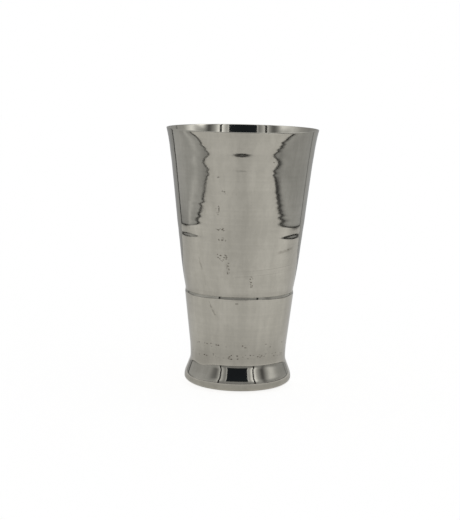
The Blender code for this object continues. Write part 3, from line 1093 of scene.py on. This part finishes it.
left_shade_strip = patched(LEFT_SHADE_STRIP_GLOW, LEFT_SHADE_STRIP_PATCHES, 1)
right_cloth = patched(RIGHT_CLOTH, RIGHT_PATCHES, 1)
back_cloth = patched(BACK_CLOTH, BACK_PATCHES, 0)
left_flap_cloth = patched(LEFT_FLAP_CLOTH, LEFT_FLAP_PATCHES, 0)
right_flap_cloth = patched(RIGHT_FLAP_CLOTH, RIGHT_FLAP_PATCHES, 0)
tent_wall("tent_left", FRONT_LEFT, BACK_LEFT, SHADE_STRIP_HEIGHT, TENT_TOP, creased_left)
tent_wall("tent_right", FRONT_RIGHT, BACK_RIGHT, RIGHT_SHADE_STRIP_HEIGHT, TENT_TOP, right_cloth)
tent_wall("tent_back", BACK_LEFT, BACK_RIGHT, SHADE_STRIP_HEIGHT, TENT_TOP, back_cloth)
tent_wall("tent_flap_left", FRONT_LEFT, OPENING_LEFT, FRONT_SHADE_STRIP_HEIGHT, TENT_TOP, left_flap_cloth)
tent_wall("tent_flap_right", OPENING_RIGHT, FRONT_RIGHT, FRONT_SHADE_STRIP_HEIGHT, TENT_TOP, right_flap_cloth)
tent_wall("tent_sill", OPENING_LEFT, OPENING_RIGHT, FRONT_SHADE_STRIP_HEIGHT, OPENING_FOOT, even(SILL_GLOW))
tent_wall("tent_opening", OPENING_LEFT, OPENING_RIGHT, OPENING_FOOT, OPENING_HEAD, even(OPENING_GLOW),
          OPENING_TINT)
tent_wall("tent_header", OPENING_LEFT, OPENING_RIGHT, OPENING_HEAD, TENT_TOP, even(HEADER_GLOW))
tent_wall("tent_left_shade_strip", FRONT_LEFT, BACK_LEFT, 0.0, SHADE_STRIP_HEIGHT, left_shade_strip)
tent_wall("tent_right_shade_strip", FRONT_RIGHT, BACK_RIGHT, 0.0, RIGHT_SHADE_STRIP_HEIGHT, even(RIGHT_SHADE_STRIP_GLOW))
tent_wall("tent_back_shade_strip", BACK_LEFT, BACK_RIGHT, 0.0, SHADE_STRIP_HEIGHT, even(BACK_SHADE_STRIP_GLOW))
for name, start, end in (("tent_flap_left_shade_strip", FRONT_LEFT, OPENING_LEFT),
                         ("tent_sill_shade_strip", OPENING_LEFT, OPENING_RIGHT),
                         ("tent_flap_right_shade_strip", OPENING_RIGHT, FRONT_RIGHT)):
    tent_wall(name, start, end, 0.0, FRONT_SHADE_STRIP_HEIGHT, even(FRONT_SHADE_STRIP_GLOW))
for side, front, back, back_top, back_glow in (
        ("left", FRONT_LEFT, BACK_LEFT, LEFT_BACK_POST_TOP, LEFT_BACK_POST_GLOW),
        ("right", FRONT_RIGHT, BACK_RIGHT, TENT_TOP, RIGHT_BACK_POST_GLOW)):
    inward = -math.copysign(1, front[0])
    post_y = front[1] + POST_INSET
    post_end = front[0] + inward * FRONT_POST_WIDTH
    tent_wall("tent_front_post_" + side, (front[0], post_y), (post_end, post_y), 0.0, TENT_TOP,
              even(FRONT_POST_GLOW))
    post_x = back[0] + inward * POST_INSET
    tent_wall("tent_back_post_" + side, (post_x, TENT_BACK - BACK_POST_WIDTH), (post_x, TENT_BACK),
              0.0, back_top, even(back_glow))
roof_across = spread(FRONT_LEFT[0], FRONT_RIGHT[0], TENT_STEP)
roof_along = spread(TENT_FRONT, TENT_BACK, TENT_STEP)
tent_sheet("tent_roof", [[(x, y, TENT_TOP) for x in roof_across] for y in roof_along], even(ROOF_GLOW))

# Room light
# A plain pale room: white all round to the camera and beyond the tent in the steel,
# and an even soft light on what scatters.

ROOM_LIGHT = 0.25

world = bpy.data.worlds.new("pale_room")
bpy.context.scene.world = world
world.use_nodes = True
tree = world.node_tree
background = tree.nodes["Background"]
background.inputs["Color"].default_value = (1, 1, 1, 1)
path = lay(tree, "LightPath").outputs
seen = reckon(tree, "MAXIMUM", path["Is Camera Ray"], path["Is Glossy Ray"])
seen = reckon(tree, "MAXIMUM", seen, path["Is Transmission Ray"])
strength = lay(tree, "MapRange", [("Value", seen), ("To Min", ROOM_LIGHT), ("To Max", 1.0)])
tree.links.new(strength.outputs["Result"], background.inputs["Strength"])

# Camera
# Where the photograph was taken from: about 0.9 m in front of the glass and a little above its mouth.
# It looks slightly down and leans by about a degree. The places and angles were fitted to the outline.

CAMERA_PLACE = (0.0, -0.9055, 0.2012)
CAMERA_LENS = 106.8
CAMERA_SENSOR = 36.0
CAMERA_PITCH = math.radians(8.0045)
CAMERA_YAW = math.radians(-0.371)
CAMERA_ROLL = math.radians(1.2214)

lens = bpy.data.cameras.new("photo_camera")
lens.lens = CAMERA_LENS
lens.sensor_width = CAMERA_SENSOR
camera = bpy.data.objects.new("photo_camera", lens)
bpy.context.scene.collection.objects.link(camera)
aim = Euler((math.pi / 2 - CAMERA_PITCH, 0, -CAMERA_YAW)).to_matrix()
camera.rotation_euler = (aim @ Matrix.Rotation(CAMERA_ROLL, 3, "Z")).to_euler()
camera.location = CAMERA_PLACE
bpy.context.scene.camera = camera
bpy.context.scene.view_settings.view_transform = "Standard"
